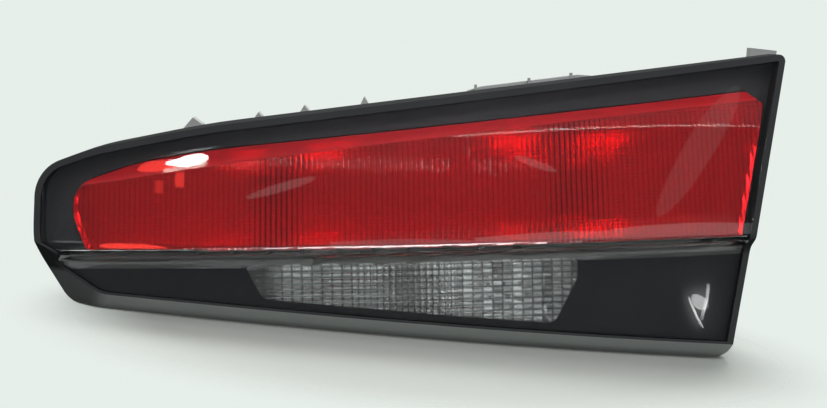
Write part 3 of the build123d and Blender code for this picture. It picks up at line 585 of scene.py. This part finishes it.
WIRE = PlatedMetal(
    "filament_tungsten", (0.3, 0.3, 0.31), (0.42, 0.42, 0.43), rough=(0.35, 0.5), blotch_size=0.4,
    line_depth=0.002,
)


class Slot(Enum):
    """Names of two material slots of the record."""

    STUD = "stud_steel"
    FILAMENT = "filament_steel"


class Shelf:
    """Materials that are already made, by the finish's name."""

    made: dict[str, bpy.types.Material] = {}

    @classmethod
    def material(cls, finish: Finish) -> bpy.types.Material:
        """Make a finish's material once.

        Args:
            finish: The finish.

        Returns:
            Its material.
        """
        if finish.name not in cls.made:
            cls.made[finish.name] = finish.material()
        return cls.made[finish.name]


class Recipe(Tree):
    """Geometry Nodes tree whose sizes are named inputs."""

    def __init__(self, name: str, sizes: dict[str, float]) -> None:
        """Start a tree with a geometry input and output.

        Args:
            name: Name of the tree.
            sizes: Named inputs and their values.
        """
        super().__init__(bpy.data.node_groups.new(name, "GeometryNodeTree"))
        sockets = self.tree.interface
        sockets.new_socket("Geometry", in_out="INPUT", socket_type="NodeSocketGeometry")
        sockets.new_socket("Geometry", in_out="OUTPUT", socket_type="NodeSocketGeometry")
        self.values: dict[str, float] = {}
        for size, value in sizes.items():
            socket = sockets.new_socket(size, in_out="INPUT", socket_type="NodeSocketFloat")
            self.values[socket.identifier] = value
        self.sizes = self.node("NodeGroupInput").outputs
        self.exit = self.node("NodeGroupOutput").inputs["Geometry"]

    def tube(self, path: Socket, radius: Socket, sides: int) -> Socket:
        """Closed tube along a curve, whose section has so many sides."""
        ring = self.step("GeometryNodeCurvePrimitiveCircle", Resolution=sides, Radius=radius)["Curve"]
        return self.step("GeometryNodeCurveToMesh", Curve=path, Profile_Curve=ring, Fill_Caps=True)["Mesh"]

    def helix(self, steps: int, turns: Socket, radius: Socket, height: Socket) -> Socket:
        """Helix along Z.

        Args:
            steps: Points in one turn.
            turns: How often it goes round.
            radius: Radius of the turns.
            height: Height of all the turns.

        Returns:
            The curve.
        """
        return self.step(
            "GeometryNodeCurveSpiral",
            Resolution=steps,
            Rotations=turns,
            Start_Radius=radius,
            End_Radius=radius,
            Height=height,
        )["Curve"]

    def moved(self, shape: Socket, offset: Point | Socket, turn: Point = (0.0, 0.0, 0.0)) -> Socket:
        """Shape turned by Euler angles in radians, then moved by metres."""
        made = self.step("GeometryNodeTransform", Geometry=shape, Translation=offset, Rotation=turn)
        return made["Geometry"]

    def finish(self, shape: Socket, material: bpy.types.Material) -> None:
        """Repeat a shape on the input's points and end the tree.

        Args:
            shape: The shape, round the origin.
            material: Its material.
        """
        points = self.sizes["Geometry"]
        copies = self.step("GeometryNodeInstanceOnPoints", Points=points, Instance=shape)["Instances"]
        real = self.step("GeometryNodeRealizeInstances", Geometry=copies)["Geometry"]
        painted = self.step("GeometryNodeSetMaterial", Geometry=real, Material=material)["Geometry"]
        self.feed(self.exit, painted)

    def piece(self, name: str, points: list[Point]) -> bpy.types.Object:
        """Run the tree on points and keep the result as a plain mesh.

        Args:
            name: Name of the piece.
            points: Places of the copies in metres.

        Returns:
            The piece, linked to the scene.
        """
        mesh = bpy.data.meshes.new(name)
        mesh.from_pydata(points, [], [])
        piece = bpy.data.objects.new(name, mesh)
        bpy.context.scene.collection.objects.link(piece)
        modifier = piece.modifiers.new("recipe", "NODES")
        modifier.node_group = self.tree
        for identifier, value in self.values.items():
            modifier[identifier] = value
        graph = bpy.context.evaluated_depsgraph_get()
        made = bpy.data.meshes.new_from_object(piece.evaluated_get(graph))
        piece.modifiers.clear()
        piece.data = made
        log.info("%s: %d faces", name, len(made.polygons))
        return piece


@dataclass
class Assembly:
    """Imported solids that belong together, with the finish of each."""

    finishes: dict[str, Finish] = field(default_factory=dict)

    def build(self) -> None:
        """Make the assembly's own pieces; a plain one has none."""

    def dress(self) -> None:
        """Put every solid's finish on its object."""
        for node, finish in self.finishes.items():
            solid = frame["nodes"][node]
            solid.data.materials.clear()
            solid.data.materials.append(Shelf.material(finish))
            log.info("%s: %s", node, finish.name)


@dataclass
class Cover(Assembly):
    """Clear face with its black rim, and the black bezel behind it."""

    finishes: dict[str, Finish] = field(
        default_factory=lambda: {"outer_lens": COVER, "lens_rim": RIM, "inner_bezel": BEZEL}
    )


@dataclass
class Optics(Assembly):
    """Red lens, reversing lens and the metallised reflector."""

    finishes: dict[str, Finish] = field(
        default_factory=lambda: {"red_inner_lens": RED, "reverse_inner_lens": OPTIC, "reflector": CHROME}
    )


@dataclass
class Body(Assembly):
    """Grey housing with its studs and vent cap."""

    finishes: dict[str, Finish] = field(
        default_factory=lambda: {"housing": HOUSING, "mounting_studs": STEEL, "vent_cap": VENT}
    )
    stud_mounts: tuple[str, ...] = ("centre_stud", "nose_stud", "end_stud")
    thread_start: float = 1.5
    thread_length: float = 17.0
    thread_pitch: float = 1.0
    thread_radius: float = 2.9
    thread_depth: float = 0.3
    thread_steps: int = 24
    thread_sides: int = 4

    def build(self) -> None:
        """Wind a thread round each stud."""
        recipe = Recipe(
            "stud_thread",
            {
                "Length": self.thread_length * MM,
                "Pitch": self.thread_pitch * MM,
                "Radius": self.thread_radius * MM,
                "Depth": self.thread_depth * MM,
            },
        )
        sizes = recipe.sizes
        turns = recipe.maths("DIVIDE", sizes["Length"], sizes["Pitch"])
        helix = recipe.helix(self.thread_steps, turns, sizes["Radius"], sizes["Length"])
        ridge = recipe.tube(helix, sizes["Depth"], self.thread_sides)
        recipe.finish(recipe.moved(ridge, (0.0, 0.0, 0.0), (-math.pi / 2, 0.0, 0.0)), Shelf.material(STEEL))
        seats = {mount["name"]: mount["pos_m"] for mount in frame["record"]["mounts"]}
        points = []
        for x, y, z in (seats[name] for name in self.stud_mounts):
            points.append((x, y + self.thread_start * MM, z))
        threads = recipe.piece("stud_threads", points)
        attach(threads, BODY)


@dataclass
class Carrier(Assembly):
    """Bulb carrier with its gasket and contacts."""

    finishes: dict[str, Finish] = field(
        default_factory=lambda: {
            "bulb_carrier": CARRIER,
            "carrier_gasket": FOAM,
            "contact_tracks": BRASS,
            "connector_pins": BRASS,
        }
    )


@dataclass
class Bulbs(Assembly):
    """Bayonet bulbs with coiled filaments."""

    uses: tuple[str, ...] = ("tail", "stop", "reverse")
    coil_radius: float = 0.58
    coil_pitch: float = 0.4
    coil_steps: int = 14
    wire_radius: float = 0.12
    wire_sides: int = 5
    post_spread: float = 3.0
    post_radius: float = 0.45
    post_length: float = 14.9
    post_sides: int = 10

    def __post_init__(self) -> None:
        """Give each bulb's solids their finishes."""
        for use in self.uses:
            self.finishes[f"{use}_bulb_cap"] = CAP
            self.finishes[f"{use}_bulb_glass"] = BULB_GLASS
            self.finishes[f"{use}_bulb_filament"] = WIRE

    def build(self) -> None:
        """Coil each filament between its posts, in place of the straight rod."""
        recipe = Recipe(
            "coiled_filament",
            {
                "Spread": self.post_spread * MM,
                "Coil": self.coil_radius * MM,
                "Pitch": self.coil_pitch * MM,
                "Wire": self.wire_radius * MM,
                "Post": self.post_radius * MM,
                "Reach": self.post_length * MM,
            },
        )
        sizes = recipe.sizes
        width = recipe.maths("MULTIPLY", sizes["Spread"], 2.0)
        turns = recipe.maths("DIVIDE", width, sizes["Pitch"])
        helix = recipe.helix(self.coil_steps, turns, sizes["Coil"], width)
        coil = recipe.tube(helix, sizes["Wire"], self.wire_sides)
        reach = recipe.step("ShaderNodeCombineXYZ", Y=sizes["Reach"])["Vector"]
        line = recipe.step("GeometryNodeCurvePrimitiveLine", End=reach)["Curve"]
        post = recipe.tube(line, sizes["Post"], self.post_sides)
        leftward = recipe.maths("MULTIPLY", sizes["Spread"], -1.0)
        left = recipe.step("ShaderNodeCombineXYZ", X=leftward)["Vector"]
        right = recipe.step("ShaderNodeCombineXYZ", X=sizes["Spread"])["Vector"]
        joined = recipe.node("GeometryNodeJoinGeometry")
        for part in (
            recipe.moved(coil, left, (0.0, math.pi / 2, 0.0)),
            recipe.moved(post, left),
            recipe.moved(post, right),
        ):
            recipe.feed(joined.inputs["Geometry"], part)
        recipe.finish(joined.outputs["Geometry"], Shelf.material(WIRE))
        nodes = [f"{use}_bulb_filament" for use in self.uses]
        points = []
        for node in nodes:
            low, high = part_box(node)
            tip = high[1] - self.post_length * MM
            points.append(((low[0] + high[0]) / 2, tip, (low[2] + high[2]) / 2))
        filaments = recipe.piece("coiled_filaments", points)
        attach(filaments, BODY)
        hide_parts(*nodes)


@dataclass
class Table:
    """Table top that the lamp's bottom edge stands on, fading into the background."""

    slope: float = -0.1072
    height: float = -0.0918
    reach: float = 0.9
    middle: float = -0.06
    width_share: float = 0.95
    fade_span: Span = (0.12, 0.19)
    pale: Colour = (0.39, 0.413, 0.39)
    deep: Colour = (0.355, 0.376, 0.355)
    cloud_mm: float = 180.0
    cloud_detail: float = 2.0
    rough: Span = (0.55, 0.7)
    specular: float = 0.2

    def build(self) -> None:
        """Build the table top."""
        corners = []
        for x, y in ((-1.0, -1.0), (1.0, -1.0), (1.0, 1.0), (-1.0, 1.0)):
            drop = self.slope * x * self.reach
            corners.append((x * self.reach, y * self.reach, self.height + drop))
        mesh = bpy.data.meshes.new("table_top")
        mesh.from_pydata(corners, [], [(0, 1, 2, 3)])
        mesh.materials.append(self.material())
        top = bpy.data.objects.new("table_top", mesh)
        bpy.context.scene.collection.objects.link(top)

    def material(self) -> bpy.types.Material:
        """Laminate that turns transparent away from the lamp.

        Returns:
            The material.
        """
        graph = Graph("table_pale")
        cloud = graph.noise(self.cloud_mm, self.cloud_detail)
        tone = graph.mixed(cloud, self.deep, self.pale)
        graph.shade(
            Specular_IOR_Level=self.specular, Base_Color=tone, Roughness=graph.spread(cloud, *self.rough)
        )
        near = graph.step(
            "ShaderNodeMapping",
            Vector=graph.place,
            Location=(0.0, -self.middle, 0.0),
            Scale=(self.width_share, 1.0, 0.0),
        )["Vector"]
        length = graph.node("ShaderNodeVectorMath", operation="LENGTH")
        graph.feed(length.inputs[0], near)
        away = graph.spread(length.outputs["Value"], 0.0, 1.0, *self.fade_span, smooth=True)
        blend = graph.node("ShaderNodeMixShader")
        clear = graph.node("ShaderNodeBsdfTransparent")
        for socket, source in zip(blend.inputs, (away, graph.shader.outputs[0], clear.outputs[0])):
            graph.feed(socket, source)
        graph.feed(graph.tree.nodes["Material Output"].inputs["Surface"], blend.outputs[0])
        return graph.material


class Outline(Enum):
    """Outlines of a soft lamp."""

    SHEET = "RECTANGLE"
    OVAL = "ELLIPSE"


@dataclass(frozen=True)
class Panel:
    """One soft lamp of the studio."""

    name: str
    place: Point
    aim: Point
    width: float
    height: float
    power: float
    colour: Colour = PALE
    turn: float = 0.0
    outline: Outline = Outline.SHEET
    mirrored: bool = True

    def build(self) -> None:
        """Build the lamp."""
        light = bpy.data.lights.new(self.name, "AREA")
        light.shape = self.outline.value
        light.size, light.size_y = self.width, self.height
        light.energy = self.power
        light.color = self.colour
        lamp = bpy.data.objects.new(self.name, light)
        lamp.location = self.place
        way = Vector(self.aim) - Vector(self.place)
        roll = Quaternion((0.0, 0.0, 1.0), math.radians(self.turn))
        lamp.rotation_euler = (way.to_track_quat("-Z", "Y") @ roll).to_euler()
        lamp.visible_glossy = self.mirrored
        bpy.context.scene.collection.objects.link(lamp)


@dataclass(frozen=True)
class Gleam(Panel):
    """Small oval lamp that the cover mirrors, as the room is mirrored in the photograph."""

    outline: Outline = Outline.OVAL


@dataclass
class Studio:
    """World, lamps and camera."""

    lamps: tuple[Panel, ...] = (
        Panel("key_panel", (0.28, 0.6, 1.15), (0.0, -0.05, -0.05), 0.9, 0.4, 21.5, (1.0, 1.0, 0.98)),
        Panel("high_strip", (0.35, -1.15, 1.05), (0.0, -0.08, -0.03), 1.5, 0.24, 13.0, mirrored=False),
        Panel("low_sheet", (0.3, -1.45, 0.33), (0.0, -0.08, -0.05), 3.0, 0.5, 8.0, mirrored=False),
        Panel("edge_panel", (0.3, -1.0, 0.85), (0.1, -0.08, -0.02), 0.6, 0.2, 2.2),
        Panel("spot_panel", (-0.43, 0.0, 1.0), (-0.12, -0.08, -0.02), 0.2, 0.08, 1.6, (1.0, 0.93, 0.82)),
    )
    highlight: tuple[Panel, ...] = (
        Gleam("hot_core", (-0.502, -1.222, 0.709), (-0.11, -0.085, -0.007), 0.09, 0.015, 0.08, PALE, 10.0),
        Gleam("hot_tail", (-0.53, -1.213, 0.703), (-0.113, -0.085, -0.008), 0.08, 0.009, 0.04, PALE, 10.0),
        Gleam("hot_glow", (-0.59, -1.2, 0.694), (-0.122, -0.084, -0.008), 0.11, 0.014, 0.03, GLOW, 10.0),
        Panel(
            "patch_left", (-0.587, -1.214, 0.672), (-0.122, -0.086, -0.016), 0.022, 0.016, 0.0032, GLOW, 6.0
        ),
        Panel(
            "patch_right", (-0.533, -1.224, 0.684), (-0.113, -0.087, -0.016), 0.024, 0.02, 0.0085, GLOW, 6.0
        ),
    )
    foot: tuple[Panel, ...] = (
        Gleam("foot_glow", (-0.648, -1.229, 0.597), (-0.136, -0.094, -0.045), 0.19, 0.009, 0.04, GLOW, 5.0),
        Panel(
            "foot_left", (0.054, -1.319, 0.6215), (-0.014, -0.099, -0.045), 0.387, 0.011, 0.0065, turn=-1.0
        ),
        Panel(
            "foot_middle", (0.4235, -1.264, 0.6095), (0.049, -0.0955, -0.044), 0.364, 0.018, 0.0145, turn=-4.0
        ),
        Panel("foot_right", (0.763, -1.143, 0.583), (0.114, -0.086, -0.044), 0.36, 0.024, 0.02, turn=-7.8),
    )
    room: tuple[Panel, ...] = (
        Gleam("left_tube", (-0.28, -1.35, 0.73), (-0.06, -0.09, -0.02), 0.2, 0.012, 0.003, turn=11.0),
        Gleam("middle_tube", (0.44, -1.32, 0.76), (0.06, -0.09, 0.0), 0.12, 0.01, 0.0015, turn=-14.0),
        Gleam("right_window", (0.81, -1.05, 0.66), (0.13, -0.09, -0.01), 0.3, 0.05, 0.009, turn=22.0),
        Gleam(
            "corner_glint", (0.392, -0.519, -0.112), (0.127, -0.095, -0.08), 0.02, 0.011, 0.0022, turn=-20.0
        ),
        Gleam(
            "long_glint", (0.388, -0.522, -0.12), (0.127, -0.095, -0.083), 0.03, 0.0016, 0.0015, turn=-55.0
        ),
        Gleam("side_glint", (0.398, -0.514, -0.112), (0.129, -0.095, -0.08), 0.03, 0.0016, 0.0015, turn=70.0),
    )
    background: Colour = (0.80, 0.86, 0.82)
    front: Colour = (0.09, 0.095, 0.1)
    rear: Colour = (0.22, 0.235, 0.228)
    rear_span: Span = (-0.15, 0.45)
    veil: Colour = (0.42, 0.39, 0.43)
    veil_span: Span = (0.5, 0.6)
    zenith: Colour = (0.24, 0.25, 0.26)
    zenith_span: Span = (0.72, 0.98)
    below: Colour = (0.85, 0.88, 0.86)
    below_span: Span = (-0.18, -0.1)
    target: Point = (-0.0074, -0.0946, -0.0278)
    distance: float = 0.734
    elevation: float = 6.0
    roll: float = 1.0
    focal_mm: float = 71.0
    nearest: float = 0.01

    def build(self) -> None:
        """Build the world, the lamps and the camera."""
        bpy.context.scene.view_settings.view_transform = "Standard"
        self.world()
        for panel in self.lamps + self.highlight + self.foot + self.room:
            panel.build()
        self.camera()

    def world(self) -> None:
        """Soft room light: dim in front, paler above and behind, and pale below for rays through a lens."""
        world = bpy.data.worlds.new("studio")
        bpy.context.scene.world = world
        world.use_nodes = True
        tree = Tree(world.node_tree)
        way = tree.parts(tree.node("ShaderNodeTexCoord").outputs["Generated"])
        path = tree.node("ShaderNodeLightPath").outputs
        front = tree.fade(way["Z"], self.veil_span, self.front, self.veil)
        lit = tree.fade(way["Y"], self.rear_span, front, self.rear)
        mirrored = tree.fade(way["Y"], self.rear_span, front, self.background)
        inward = tree.fade(way["Z"], self.below_span, self.below, front)
        inward = tree.fade(way["Y"], self.rear_span, inward, self.background)
        shade = tree.mixed(path["Is Glossy Ray"], lit, mirrored)
        shade = tree.mixed(path["Is Transmission Ray"], shade, inward)
        shade = tree.fade(way["Z"], self.zenith_span, shade, self.zenith)
        shade = tree.mixed(path["Is Camera Ray"], shade, self.background)
        tree.feed(tree.tree.nodes["Background"].inputs["Color"], shade)

    def camera(self) -> None:
        """Camera at the photograph's viewing angle."""
        tilt = math.radians(self.elevation)
        look = Vector((0.0, math.cos(tilt), -math.sin(tilt)))
        side = Vector((1.0, 0.0, 0.0))
        up = side.cross(look)
        turn = math.radians(self.roll)
        right = side * math.cos(turn) - up * math.sin(turn)
        top = up * math.cos(turn) + side * math.sin(turn)
        data = bpy.data.cameras.new("camera")
        data.lens = self.focal_mm
        data.clip_start = self.nearest
        eye = bpy.data.objects.new("camera", data)
        place = Matrix.Translation(Vector(self.target) - look * self.distance)
        eye.matrix_world = place @ Matrix((right, top, -look)).transposed().to_4x4()
        bpy.context.scene.collection.objects.link(eye)
        bpy.context.scene.camera = eye


def main() -> None:
    """Build the lamp's looks and the studio."""
    logging.basicConfig(level=logging.INFO, format="%(message)s")
    for assembly in (Cover(), Optics(), Body(), Carrier(), Bulbs()):
        assembly.dress()
        assembly.build()
    Table().build()
    Studio().build()


if __name__ == "__main__":
    main()
